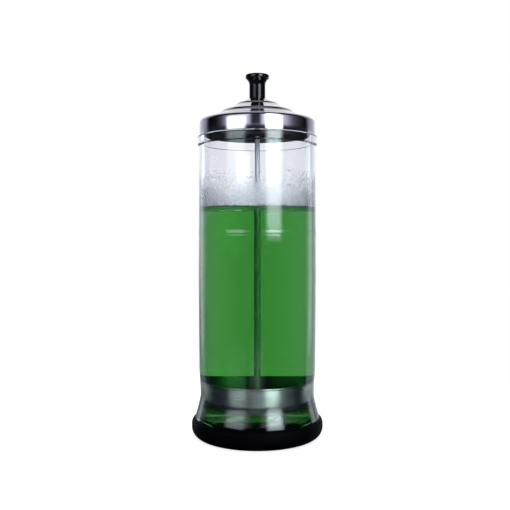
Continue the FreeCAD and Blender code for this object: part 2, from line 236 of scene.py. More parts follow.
# distance from the upright axis, from separated Object coordinates
def axisDistance(tree, split):
    squares = mathNode(tree, "ADD", mathNode(tree, "POWER", split.outputs["X"], 2.0),
                       mathNode(tree, "POWER", split.outputs["Y"], 2.0))
    return mathNode(tree, "SQRT", squares)


def noiseTexture(tree, coordinates, detail, scale=None, distortion=0.0):
    node = tree.nodes.new("ShaderNodeTexNoise")
    node.inputs["Detail"].default_value = detail
    node.inputs["Distortion"].default_value = distortion
    if scale is not None:
        node.inputs["Scale"].default_value = scale
    tree.links.new(coordinates, node.inputs["Vector"])
    return node


# fine lines that run round the upright axis, as a polishing wheel or a lathe leaves them
turning = {"drift": 0.004, "bandShare": 0.12, "lineHeight": 0.02, "dullSpread": (0.8, 1.2)}


def buildTurnedLines():
    group, ins, outs = newGroup(
        "turnedLines",
        [("Vector", "NodeSocketVector", None), ("Line Density", "NodeSocketFloat", 4000.0)],
        [("Lines", "NodeSocketFloat"), ("Bands", "NodeSocketFloat")])
    split = group.nodes.new("ShaderNodeSeparateXYZ")
    group.links.new(ins.outputs["Vector"], split.inputs[0])
    place = group.nodes.new("ShaderNodeCombineXYZ")
    across = mathNode(group, "ADD", axisDistance(group, split), split.outputs["Z"])
    group.links.new(across, place.inputs["X"])
    for source, target in (("X", "Y"), ("Y", "Z")):
        drift = mathNode(group, "MULTIPLY", split.outputs[source], turning["drift"])
        group.links.new(drift, place.inputs[target])
    lines = noiseTexture(group, place.outputs[0], 2.0)
    group.links.new(ins.outputs["Line Density"], lines.inputs["Scale"])
    bands = noiseTexture(group, place.outputs[0], 3.0)
    bandDensity = mathNode(group, "MULTIPLY", ins.outputs["Line Density"], turning["bandShare"])
    group.links.new(bandDensity, bands.inputs["Scale"])
    group.links.new(lines.outputs["Fac"], outs.inputs["Lines"])
    group.links.new(bands.outputs["Fac"], outs.inputs["Bands"])
    return group


# soft smears from handling, with a few finer streaks in them
handling = {
    "swirl": 0.6, "smearEdge": (0.45, 0.7),
    "streakShare": 7.0, "streakLow": 0.5, "streakEdge": (0.4, 0.65),
}


def buildHandlingMarks():
    group, ins, outs = newGroup(
        "handlingMarks",
        [("Vector", "NodeSocketVector", None), ("Smear Size", "NodeSocketFloat", 60.0)],
        [("Smears", "NodeSocketFloat")])
    cloud = noiseTexture(group, ins.outputs["Vector"], 4.0, distortion=handling["swirl"])
    group.links.new(ins.outputs["Smear Size"], cloud.inputs["Scale"])
    streaks = noiseTexture(group, ins.outputs["Vector"], 5.0)
    streakSize = mathNode(group, "MULTIPLY", ins.outputs["Smear Size"], handling["streakShare"])
    group.links.new(streakSize, streaks.inputs["Scale"])
    soft = rampBetween(group, cloud.outputs["Fac"], 0.0, 1.0, *handling["smearEdge"])
    fine = rampBetween(group, streaks.outputs["Fac"], handling["streakLow"], 1.0, *handling["streakEdge"])
    group.links.new(mathNode(group, "MULTIPLY", soft, fine), outs.inputs["Smears"])
    return group


turnedLines = buildTurnedLines()
handlingMarks = buildHandlingMarks()


def placeGroup(tree, group, coordinates, amount):
    node = tree.nodes.new("ShaderNodeGroup")
    node.node_tree = group
    tree.links.new(coordinates, node.inputs["Vector"])
    node.inputs[1].default_value = amount
    return node


def newMaterial(name, settings):
    material = bpy.data.materials.new(name)
    material.use_nodes = True
    tree = material.node_tree
    shader = tree.nodes["Principled BSDF"]
    for label, value in settings.items():
        shader.inputs[label].default_value = value
    place = tree.nodes.new("ShaderNodeTexCoord")
    return material, tree, shader, place.outputs["Object"]


def addBump(tree, shader, height, strength, distance):
    bump = tree.nodes.new("ShaderNodeBump")
    bump.inputs["Strength"].default_value = strength
    bump.inputs["Distance"].default_value = distance
    tree.links.new(height, bump.inputs["Height"])
    tree.links.new(bump.outputs["Normal"], shader.inputs["Normal"])


# materials

def makeSteel(name, settings):
    material, tree, shader, place = newMaterial(name, {
        "Base Color": settings["colour"], "Metallic": 1.0,
        "Anisotropic": settings["anisotropy"], "Anisotropic Rotation": 0.25})
    lines = placeGroup(tree, turnedLines, place, settings["lineDensity"])
    smears = placeGroup(tree, handlingMarks, place, settings["smearSize"])
    tangent = tree.nodes.new("ShaderNodeTangent")
    tangent.direction_type = "RADIAL"
    tangent.axis = "Z"
    tree.links.new(tangent.outputs[0], shader.inputs["Tangent"])
    tint = mixColours(tree, lines.outputs["Bands"], settings["colour"], settings["paleColour"])
    tree.links.new(tint, shader.inputs["Base Color"])
    dull = settings["roughness"]
    leastDull, mostDull = (dull * share for share in turning["dullSpread"])
    roughLines = rampBetween(tree, lines.outputs["Lines"], leastDull, mostDull)
    rough = mathNode(tree, "MULTIPLY_ADD", smears.outputs["Smears"], settings["smearRoughness"], roughLines)
    tree.links.new(rough, shader.inputs["Roughness"])
    addBump(tree, shader, lines.outputs["Lines"], settings["lineDepth"], turning["lineHeight"] * mm)
    return material


lidSteel = makeSteel("lidSteel", {
    "colour": (0.56, 0.55, 0.60, 1), "paleColour": (0.62, 0.61, 0.66, 1), "roughness": 0.08,
    "anisotropy": 0.6, "lineDensity": 5200.0, "lineDepth": 0.10, "smearSize": 45.0, "smearRoughness": 0.05})
traySteel = makeSteel("traySteel", {
    "colour": (0.55, 0.55, 0.53, 1), "paleColour": (0.68, 0.68, 0.65, 1), "roughness": 0.30,
    "anisotropy": 0.75, "lineDensity": 3600.0, "lineDepth": 0.2, "smearSize": 60.0, "smearRoughness": 0.06})
rodSteel = makeSteel("rodSteel", {
    "colour": (0.84, 0.84, 0.87, 1), "paleColour": (0.91, 0.91, 0.94, 1), "roughness": 0.55,
    "anisotropy": 0.0, "lineDensity": 2500.0, "lineDepth": 0.1, "smearSize": 90.0, "smearRoughness": 0.05})
nutSteel = makeSteel("nutSteel", {
    "colour": (0.56, 0.56, 0.58, 1), "paleColour": (0.64, 0.64, 0.66, 1), "roughness": 0.2,
    "anisotropy": 0.2, "lineDensity": 5000.0, "lineDepth": 0.15, "smearSize": 200.0, "smearRoughness": 0.1})
insertBrass = makeSteel("insertBrass", {
    "colour": (0.70, 0.50, 0.22, 1), "paleColour": (0.80, 0.62, 0.33, 1), "roughness": 0.26,
    "anisotropy": 0.3, "lineDensity": 4200.0, "lineDepth": 0.2, "smearSize": 200.0, "smearRoughness": 0.1})


grainHeight = 0.05  # millimetres, shared by the mouldings


def makeMoulding(name, settings):
    material, tree, shader, place = newMaterial(name, {
        "Base Color": settings["colour"], "Specular IOR Level": settings["specular"]})
    smears = placeGroup(tree, handlingMarks, place, settings["smearSize"])
    grain = noiseTexture(tree, place, 3.0, settings["grainScale"])
    tint = mixColours(tree, smears.outputs["Smears"], settings["colour"], settings["wornColour"])
    tree.links.new(tint, shader.inputs["Base Color"])
    rough = mathNode(tree, "MULTIPLY_ADD", smears.outputs["Smears"], settings["smearRoughness"],
                     settings["roughness"])
    tree.links.new(rough, shader.inputs["Roughness"])
    addBump(tree, shader, grain.outputs["Fac"], settings["grainDepth"], grainHeight * mm)
    return material


knobBlack = makeMoulding("knobBlack", {
    "colour": (0.002, 0.002, 0.004, 1), "wornColour": (0.006, 0.006, 0.011, 1), "specular": 0.20,
    "roughness": 0.06, "smearRoughness": 0.05, "smearSize": 140.0, "grainScale": 900.0, "grainDepth": 0.02})
baseRubber = makeMoulding("baseRubber", {
    "colour": (0.0008, 0.0008, 0.0015, 1), "wornColour": (0.002, 0.002, 0.0035, 1), "specular": 0.03,
    "roughness": 0.55, "smearRoughness": 0.12, "smearSize": 50.0, "grainScale": 1400.0, "grainDepth": 0.3})
sealRubber = makeMoulding("sealRubber", {
    "colour": (0.004, 0.005, 0.013, 1), "wornColour": (0.008, 0.009, 0.020, 1), "specular": 0.05,
    "roughness": 0.7, "smearRoughness": 0.1, "smearSize": 80.0, "grainScale": 1600.0, "grainDepth": 0.2})


# the bore is misted above the solution, and clears in a ragged line some 30 mm higher; a painted shade tints
# the glass darker green towards its foot
def makeGlass(settings):
    material, tree, shader, place = newMaterial("clearGlass", {
        "Base Color": settings["colour"], "Roughness": 0.0, "Transmission Weight": 1.0, "IOR": 1.5})
    split = tree.nodes.new("ShaderNodeSeparateXYZ")
    tree.links.new(place, split.inputs[0])
    bore = mathNode(tree, "LESS_THAN", axisDistance(tree, split), settings["boreLimit"] * mm)
    edge = noiseTexture(tree, place, 5.0, settings["mistEdgeScale"])
    height = mathNode(tree, "MULTIPLY_ADD", edge.outputs["Fac"], settings["mistRagged"] * mm,
                      split.outputs["Z"])
    mist = rampBetween(tree, height, 1.0, 0.0, settings["mistFull"] * mm, settings["mistTop"] * mm)
    above = mathNode(tree, "GREATER_THAN", split.outputs["Z"], settings["mistLow"] * mm)
    mask = mathNode(tree, "MULTIPLY", mathNode(tree, "MULTIPLY", mist, above), bore)
    tree.links.new(mathNode(tree, "MULTIPLY", mask, settings["mistRoughness"]), shader.inputs["Roughness"])
    beads = tree.nodes.new("ShaderNodeTexVoronoi")
    beads.inputs["Scale"].default_value = settings["beadScale"]
    tree.links.new(place, beads.inputs["Vector"])
    speckle = rampBetween(tree, beads.outputs["Distance"], settings["beadClear"], 1.0, *settings["beadEdge"])
    speckle = mathNode(tree, "MULTIPLY", speckle, mask)
    misted = mixColours(tree, speckle, settings["colour"], settings["mistColour"])
    # painted shade: the glass colour turns darker green from 25 mm down to 16 mm, towards the foot
    foot = rampBetween(tree, split.outputs["Z"], 1.0, 0.0,
                       settings["footShadeFull"] * mm, settings["footShadeEnd"] * mm)
    tree.links.new(mixColours(tree, foot, misted, settings["footShadeColour"]), shader.inputs["Base Color"])
    sag = tree.nodes.new("ShaderNodeMapping")
    sag.inputs["Scale"].default_value = settings["waveScale"]
    tree.links.new(place, sag.inputs["Vector"])
    wave = noiseTexture(tree, sag.outputs[0], 2.0, 1.0)
    relief = mathNode(tree, "MULTIPLY_ADD", mathNode(tree, "MULTIPLY", beads.outputs["Distance"], mask),
                      -settings["beadShare"], wave.outputs["Fac"])
    addBump(tree, shader, relief, 1.0, settings["waveDepth"] * mm)
    return material


clearGlass = makeGlass({
    "colour": (0.96, 0.968, 1.0, 1), "mistColour": (0.64, 0.71, 0.77, 1),
    # painted shade at the foot: darker green glass below 25 mm
    "footShadeColour": (0.22, 0.42, 0.28, 1), "footShadeFull": 16.0, "footShadeEnd": 25.0,
    "boreLimit": 44.0, "mistLow": 180.0, "mistFull": 204.0, "mistTop": 232.0, "mistRagged": 36.0,
    "mistEdgeScale": 110.0, "mistRoughness": 0.45, "waveDepth": 0.04, "waveScale": (22.0, 22.0, 7.0),
    "beadScale": 560.0, "beadShare": 4.0, "beadClear": 0.3, "beadEdge": (0.2, 0.6)})


clearWater = {"Base Color": (1, 1, 1, 1), "Roughness": 0.0, "Transmission Weight": 1.0, "IOR": 1.33}


def makeSolution(settings):
    material, tree = newMaterial("greenSolution", clearWater)[:2]
    absorb = tree.nodes.new("ShaderNodeVolumeAbsorption")
    absorb.inputs["Color"].default_value = settings["colour"]
    absorb.inputs["Density"].default_value = settings["density"]
    tree.links.new(absorb.outputs[0], tree.nodes["Material Output"].inputs["Volume"])
    return material


greenSolution = makeSolution({"colour": (0.12, 0.64, 0.05, 1), "density": 40.0})
waterDrop = newMaterial("waterDrop", clearWater)[0]
print("materials ready:", len(bpy.data.materials))


# glass jar

jarLow, jarHigh = (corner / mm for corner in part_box("glass_jar"))
glass = {
    "mouth": 43.0, "mouthRound": 1.2,
    "rimWall": 5.1, "rimDepth": 7.8, "rimRound": 1.1,
    "neckWall": 3.85, "bellyWall": 4.25, "bellyHeight": 130.0,
    "shoulderTop": 165.3, "shoulderRise": 3.3, "shoulderStep": 0.3, "shoulderCurve": 20.0,
    "shoulderFoot": 1.2, "shoulderEdge": 0.12,
    "lowerWall": 3.6, "lowerWallHeight": 52.0, "lowerCurve": 220.0,
    "waistWall": 2.55, "waistHeight": 33.0, "flareCurve": 120.0, "flareFoot": 15.7,
    "footRound": 6.5, "footRing": 5.4, "puntDepth": 3.5,
    "floorHeight": 11.5, "floorRound": 9.0,
}


def makeGlassJar():
    g = glass
    mouth, top = g["mouth"], jarHigh.z
    foot, low = jarHigh.x, jarLow.z
    rim = mouth + g["rimWall"]
    rimFoot = top - g["rimDepth"]
    neck = mouth + g["neckWall"]
    belly = mouth + g["bellyWall"]
    punt = foot - g["footRound"] - g["footRing"]
    puntCurve = (punt ** 2 + g["puntDepth"] ** 2) / (2 * g["puntDepth"])
    slope = (neck - belly) / (rimFoot - g["bellyHeight"])
    shoulder = belly + slope * (g["shoulderTop"] - g["bellyHeight"])
    ridge = g["shoulderTop"] - g["shoulderRise"]
    corners = [
        (0, low + g["puntDepth"]),
        (punt, low, -puntCurve),
        (foot - g["footRound"], low),
        (foot, low + g["footRound"], g["footRound"]),
        (foot, g["flareFoot"]),
        (mouth + g["waistWall"], g["waistHeight"], -g["flareCurve"]),
        (mouth + g["lowerWall"], g["lowerWallHeight"], -g["lowerCurve"]),
        (belly, g["bellyHeight"]),
        (shoulder, ridge - g["shoulderFoot"] - g["shoulderEdge"]),
        (shoulder, ridge - g["shoulderFoot"]),
        (shoulder + g["shoulderStep"], ridge),
        (shoulder, g["shoulderTop"], g["shoulderCurve"]),
        (shoulder + slope * g["shoulderEdge"], g["shoulderTop"] + g["shoulderEdge"]),
        (neck, rimFoot),
        (rim - g["rimRound"], rimFoot),
        (rim, rimFoot + g["rimRound"], g["rimRound"]),
        (rim, top - g["rimRound"]),
        (rim - g["rimRound"], top, g["rimRound"]),
        (mouth + g["mouthRound"], top),
        (mouth, top - g["mouthRound"], g["mouthRound"]),
        (mouth, g["floorHeight"] + g["floorRound"]),
        (mouth - g["floorRound"], g["floorHeight"], -g["floorRound"]),
        (0, g["floorHeight"]),
    ]
    return turnPiece("jarGlass", corners, steps=256, stepAngle=4.0)


jarGlass = makeGlassJar()
placePiece(jarGlass, "jar", "clear_glass", clearGlass, "glass_jar")
print("glass jar turned")


# green solution

solution = {"overlap": 0.1, "level": 183.0, "meniscus": 0.5}


def makeSolutionBody():
    wall = glass["mouth"] + solution["overlap"]
    floor = glass["floorHeight"] - solution["overlap"]
    bend = glass["floorRound"]
    level, meniscus = solution["level"], solution["meniscus"]
    return turnPiece("solution", [
        (0, floor), (wall - bend, floor), (wall, floor + bend, bend),
        (wall, level + meniscus), (wall - meniscus * 2, level, -meniscus * 2.5), (0, level)], steps=256)


solutionBody = makeSolutionBody()
placePiece(solutionBody, "jar", "clear_glass", greenSolution)
print("solution poured")


# rubber foot

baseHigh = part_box("rubber_base")[1] / mm
rubber = {
    "wall": 2.6, "undercut": 6.2, "sideBottom": 8.2, "sideTop": 11.5, "lowerCurve": 8.6, "upperCurve": 6.0,
    "floor": 3.0, "recessRadius": 36.0, "recessDepth": 1.2,
}


def makeRubberFoot():
    r = rubber
    outer = baseHigh.x
    cup = outer - r["wall"]
    heel = glass["footRound"] + cup - jarHigh.x
    return turnPiece("footRubber", [
        (0, r["recessDepth"]), (r["recessRadius"], r["recessDepth"]), (r["recessRadius"], 0),
        (outer - r["undercut"], 0), (outer, r["sideBottom"], r["lowerCurve"]), (outer, r["sideTop"]),
        (cup, baseHigh.z, r["upperCurve"]),
        (cup, r["floor"] + heel), (cup - heel, r["floor"], -heel), (0, r["floor"])], steps=224)


footRubber = makeRubberFoot()
placePiece(footRubber, "jar", "base_rubber", baseRubber, "rubber_base")
print("rubber foot turned")


# steel lid

lidLow, lidHigh = (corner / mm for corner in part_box("lid_shell"))
lid = {
    "wall": 0.8, "hemReach": 5.0, "hemRound": 0.4, "bandHeight": 10.5,
    "shoulderInset": 2.2, "shoulderRise": 2.8, "shoulderCurve": 3.2,
    "lowerStep": 29.8, "lowerTierRise": 5.3, "lowerStepRise": 1.5,
    "upperStep": 17.5, "middleTierRise": 5.0, "upperStepRise": 1.3, "upperTierRise": 4.2,
    "lean": 0.9, "stepRound": 0.4, "tierCurve": 60.0, "seatRadius": 7.05, "holeRadius": 2.08,
}


def makeLidShell():
    d = lid
    w, r = d["wall"], d["stepRound"]
    outer, low = lidHigh.x, lidLow.z
    band = low + d["bandHeight"]
    shoulder = (outer - d["shoulderInset"], band + d["shoulderRise"])
    lowerFoot = (d["lowerStep"], shoulder[1] + d["lowerTierRise"])
    lowerTop = (d["lowerStep"] - d["lean"], lowerFoot[1] + d["lowerStepRise"])
    upperFoot = (d["upperStep"], lowerTop[1] + d["middleTierRise"])
    upperTop = (d["upperStep"] - d["lean"], upperFoot[1] + d["upperStepRise"])
    seat = (d["seatRadius"], upperTop[1] + d["upperTierRise"])
    tier = -d["tierCurve"]
    innerTier = d["tierCurve"] + w
    lowerFootRound = roundedCorner(shoulder, lowerFoot, lowerTop, r)
    upperFootRound = roundedCorner(lowerTop, upperFoot, upperTop, r)
    corners = [
        (outer - d["hemReach"], low),
        (outer - d["hemRound"], low), (outer, low + d["hemRound"], d["hemRound"]),
        (outer, band), shoulder + (d["shoulderCurve"],),
        lowerFootRound[0] + (tier,), lowerFootRound[1], *roundedCorner(lowerFoot, lowerTop, upperFoot, r),
        upperFootRound[0] + (tier,), upperFootRound[1], *roundedCorner(upperFoot, upperTop, seat, r),
        seat + (tier,), (d["holeRadius"], seat[1]),
        (d["holeRadius"], seat[1] - w), (seat[0], seat[1] - w),
        (upperTop[0] - w, upperTop[1] - w, innerTier), (upperFoot[0] - w, upperFoot[1] - w),
        (lowerTop[0] - w, lowerTop[1] - w, innerTier), (lowerFoot[0] - w, lowerFoot[1] - w),
        (shoulder[0], shoulder[1] - w, innerTier),
        (outer - w, band, -(d["shoulderCurve"] - w)), (outer - w, low + w),
        (outer - d["hemReach"], low + w), (outer - d["hemReach"], low),
    ]
    return turnPiece("lidSteelShell", corners, steps=256, sharpAngle=40.0, stepAngle=8.0)


lidShell = makeLidShell()
placePiece(lidShell, "lid", "spun_steel", lidSteel, "lid_shell")
print("lid spun")


# seal disc

sealLow, sealHigh = (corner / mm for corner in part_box("lid_seal"))
seal = {"gap": 0.3, "wall": 4.1, "round": 0.6, "web": 1.5, "hole": 12.0}


def makeSealDisc():
    plug = glass["mouth"] - seal["gap"]
    inner = plug - seal["wall"]
    hem = lidHigh.x - lid["hemReach"]
    hemLow, hemHigh = lidLow.z, lidLow.z + lid["wall"]
    hole, webTop = seal["hole"], sealLow.z + seal["web"]
    return turnPiece("sealDisc", [
        (hole, sealLow.z), (plug - seal["round"], sealLow.z),
        (plug, sealLow.z + seal["round"], seal["round"]),
        (plug, hemLow), (hem, hemLow), (hem, hemHigh),
        (sealHigh.x, hemHigh), (sealHigh.x, sealHigh.z), (inner, sealHigh.z), (inner, webTop),
        (hole, webTop), (hole, sealLow.z)], steps=192)


sealDisc = makeSealDisc()
placePiece(sealDisc, "lid", "seal_rubber", sealRubber, "lid_seal")
print("seal disc turned")


# knob

knobLow, knobHigh = (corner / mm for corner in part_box("knob"))
knob = {
    "column": 6.45, "columnHeight": 10.2, "crownHeight": 16.2, "flareCurve": 7.4, "lowerRound": 0.4,
    "crownRound": 1.0, "dome": 0.5, "bore": 3.6, "boreDepth": 12.0,
    "grooveLow": 4.5, "grooveHigh": 7.5, "grooveDepth": 0.5,
}


def makeKnob():
    k = knob
    low, top = knobLow.z, knobHigh.z
    crown = knobHigh.x
    brow = top - k["dome"]
    domeEdge = crown - k["crownRound"]
    domeCurve = (domeEdge ** 2 + k["dome"] ** 2) / (2 * k["dome"])
    groove = k["bore"] - k["grooveDepth"]
    return turnPiece("knobMoulding", [
        (k["bore"], low), (k["column"], low), (k["column"], low + k["columnHeight"]),
        (crown - k["lowerRound"], low + k["crownHeight"], -k["flareCurve"]),
        (crown, low + k["crownHeight"] + k["lowerRound"], k["lowerRound"]),
        (crown, brow - k["crownRound"]), (domeEdge, brow, k["crownRound"]), (0, top, domeCurve),
    ], steps=160, pocket=[
        (0, low + k["boreDepth"]), (k["bore"], low + k["boreDepth"]), (k["bore"], low + k["grooveHigh"]),
        (groove, low + k["grooveHigh"]), (groove, low + k["grooveLow"]), (k["bore"], low + k["grooveLow"]),
    ])


knobMoulding = makeKnob()
placePiece(knobMoulding, "lift", "knob_black", knobBlack, "knob")
print("knob turned")


# CAD pieces that stay

keptFinish = {
    "knob_insert": insertBrass, "lift_rod": rodSteel, "stem_washer": nutSteel, "stem_nut": nutSteel,
    "tray": traySteel, "tray_upper_washer": nutSteel, "tray_nut": nutSteel, "tray_lower_washer": nutSteel,
    "tray_cap_nut": nutSteel,
}
for nodeName, finish in keptFinish.items():
    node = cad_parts[nodeName]
    node.data.materials.clear()
    node.data.materials.append(finish)


# mist drops and bubbles

random.seed(41)
drops = {
    "count": 1500, "low": 184.5, "high": 211.0, "crowding": 1.2, "size": (0.2, 0.5),
    "flatness": 0.5, "stretch": (1.0, 1.3), "sink": 0.02,
}
bubbles = {"count": 190, "size": (0.35, 0.9), "rise": (0.2, 0.9), "fromWall": 0.2}


def smallBall(name, segments=10, rings=6):
    selectNone()
    bpy.ops.mesh.primitive_uv_sphere_add(segments=segments, ring_count=rings, radius=1.0)
    ball = bpy.context.object
    ball.name = name
    bpy.ops.object.shade_smooth()
    return ball


# the inward half of a ball, flat where it clings to the glass
def clingingDrop():
    drop = smallBall("oneDrop", 8, 6)
    bpy.ops.object.mode_set(mode="EDIT")
    bpy.ops.mesh.select_all(action="SELECT")
    bpy.ops.mesh.bisect(plane_co=(0.02, 0, 0), plane_no=(1, 0, 0), use_fill=True, clear_outer=True)
    bpy.ops.object.mode_set(mode="OBJECT")
    return drop


def makeDrops():
    places = []
    for _ in range(drops["count"]):
        angle = random.uniform(0, 2 * math.pi)
        height = drops["low"] + (drops["high"] - drops["low"]) * random.random() ** drops["crowding"]
        size = random.uniform(*drops["size"]) * mm
        stretch = random.uniform(*drops["stretch"])
        turn = Matrix.Rotation(angle, 4, "Z")
        places.append(turn @ Matrix.Translation(((glass["mouth"] - drops["sink"]) * mm, 0, height * mm))
                      @ Matrix.Diagonal((size * drops["flatness"], size, size * stretch, 1)))
    return scatterCopies("mistDrops", clingingDrop(), places)


def makeBubbles():
    places = []
    for _ in range(bubbles["count"]):
        angle = random.uniform(0, 2 * math.pi)
        size = random.uniform(*bubbles["size"]) * mm
        reach = (glass["mouth"] - bubbles["fromWall"]) * mm - size
        turn = Matrix.Rotation(angle, 4, "Z")
        height = (solution["level"] + random.uniform(*bubbles["rise"])) * mm
        places.append(turn @ Matrix.Translation((reach, 0, height)) @ Matrix.Scale(size, 4))
    return scatterCopies("edgeBubbles", smallBall("oneBubble"), places)


mistDrops = makeDrops()
placePiece(mistDrops, "jar", "clear_glass", waterDrop)
edgeBubbles = makeBubbles()
placePiece(edgeBubbles, "jar", "clear_glass", waterDrop)
print("drops and bubbles scattered")


# studio

# Angles are degrees round the upright axis, from straight behind for the paper and the walls, and
# from straight in front for the room and boxes, left below zero. Heights of the light are degrees
# above the horizon. The floor's radius and the boxes' places are metres.
studio = {
    "floorRadius": 0.30, "floorColour": (0.86, 0.86, 0.86, 1), "floorLight": 0.78, "floorThrough": 0.6,
    "fill": 0.55,
    "paper": (
        (0, (1, 1, 1)), (14, (0.96, 0.96, 0.97)), (24, (0.88, 0.88, 0.92)), (34, (0.68, 0.69, 0.76)),
        (44, (0.53, 0.53, 0.61)), (54, (0.38, 0.38, 0.46)), (60, (0.24, 0.24, 0.30)),
        (66, (0.05, 0.05, 0.07)), (72, (0, 0, 0))),
    "wallAngles": (48.0, 85.0), "paperLow": (-38.0, -20.0), "paperTop": (30.0, 44.0),
    "sideDim": (0.3, 0.8), "sideDimSpan": (-20.0, 20.0), "sideDimHeights": (-9.0, 1.0),
    "ceilingDark": 0.1, "ceiling": (0.05, 0.05, 0.07, 1),
    "panelFrom": (66.0, 78.0), "panel": (0.20, 0.20, 0.22, 1),
    "room": (
        (-110, 0.0), (-88, 0.01), (-80, 0.05), (-73, 0.13), (-66, 0.40), (-22, 1.20), (-14, 0.62),
        (-7, 0.36), (0, 0.42), (6, 0.70), (12, 1.20), (56, 0.80), (67, 0.34), (75, 0.14), (84, 0.07),
        (92, 0.035), (110, 0.0)),
    "roomTint": (0.95, 0.92, 1.15), "roomLow": (7.65, 7.95), "tableRoom": (0.012, 0.022, 0.034, 1),
    "dipSides": (-13.0, 7.0), "dipSoft": 5.0, "dipHeights": (8.2, 8.8), "dip": 0.9,
    "glow": (0.85, 1.0, 1.03), "glowRise": (2.0, 8.0), "glowLow": 0.6,
    "tableHeights": (-32.0, -12.0), "tableSoft": 1.5, "tableSideSoft": 5.0,
    "edgeHeights": (-10.0, 5.5), "edgeSoft": 2.0, "edgeSideSoft": 1.5,
    "lampHeights": (11.0, 15.0), "lampSoft": 2.0,
    "leftBox": {
        "from": -60.0, "to": -25.0, "soft": 6.0, "glow": 3.1, "low": (2.3, 4.5), "top": (9.2, 11.0),
        "tableFrom": -59.0, "tableTo": -23.0, "tableGlow": 0.32,
        "edgeFrom": -146.0, "edgeTo": -130.5, "edgeGlow": 0.8, "lamp": 4.6},
    "rightBox": {
        "from": 19.0, "to": 47.0, "soft": 6.0, "glow": 9.5, "low": (-0.7, 0.5), "top": (38.0, 44.0),
        "tableFrom": -14.0, "tableTo": 12.0, "tableGlow": 0.5,
        "edgeFrom": 118.5, "edgeTo": 134.0, "edgeGlow": 1.0, "lamp": 4.6},
    "boxLight": 0.8, "boxDistance": 1.2, "boxLow": 0.20, "boxHigh": 1.30,
}


def lightPath(tree):
    return tree.nodes.new("ShaderNodeLightPath").outputs


# rays that have met a mirror-like face, and rays that only passed through glass
def mirroredAndStraight(tree, rays):
    bounced = mathNode(tree, "MINIMUM", rays["Glossy Depth"], 1.0)
    last = mathNode(tree, "MAXIMUM", rays["Is Glossy Ray"], rays["Is Transmission Ray"])
    mirrored = mathNode(tree, "MULTIPLY", bounced, last)
    straight = mathNode(tree, "MULTIPLY", mathNode(tree, "SUBTRACT", 1.0, bounced),
                        rays["Is Transmission Ray"])
    return mirrored, straight


# colours by angle, from the first angle of the list to its last
def colourByAngle(tree, angle, stops):
    first, last = stops[0][0], stops[-1][0]
    place = mathNode(tree, "DIVIDE", mathNode(tree, "SUBTRACT", angle, float(first)), float(last - first))
    node = tree.nodes.new("ShaderNodeValToRGB")
    node.color_ramp.interpolation = "LINEAR"
    node.color_ramp.elements.remove(node.color_ramp.elements[1])
    for number, (degrees, colour) in enumerate(stops):
        where = (degrees - first) / (last - first)
        stop = node.color_ramp.elements.new(where) if number else node.color_ramp.elements[0]
        stop.color = (colour + (1,)) if isinstance(colour, tuple) else (colour, colour, colour, 1)
    tree.links.new(place, node.inputs[0])
    return node.outputs[0]


def isBetween(tree, value, low, high, soft):
    rising = rampBetween(tree, value, 0.0, 1.0, low - soft, low + soft)
    falling = rampBetween(tree, value, 1.0, 0.0, high - soft, high + soft)
    return mathNode(tree, "MULTIPLY", rising, falling)


def tinted(tree, strength, tint):
    colour = tree.nodes.new("ShaderNodeCombineColor")
    for index, share in enumerate(tint):
        tree.links.new(mathNode(tree, "MULTIPLY", strength, share), colour.inputs[index])
    return colour.outputs[0]


# the angle round the upright axis, and the same from straight behind
def anglesRound(tree, split):
    backwards = mathNode(tree, "MULTIPLY", split.outputs["Y"], -1.0)
    around = mathNode(tree, "DEGREES", mathNode(tree, "ARCTAN2", split.outputs["X"], backwards))
    return around, mathNode(tree, "SUBTRACT", 180.0, mathNode(tree, "ABSOLUTE", around))


# what is seen straight through the glass: the paper behind, and pale walls at the sides
def backdrop(tree, fromBack, paper):
    wall = rampBetween(tree, fromBack, 0.0, 1.0, *studio["wallAngles"])
    return mixColours(tree, 1.0, paper, tinted(tree, wall, (1.0, 1.0, 1.0)), "ADD")


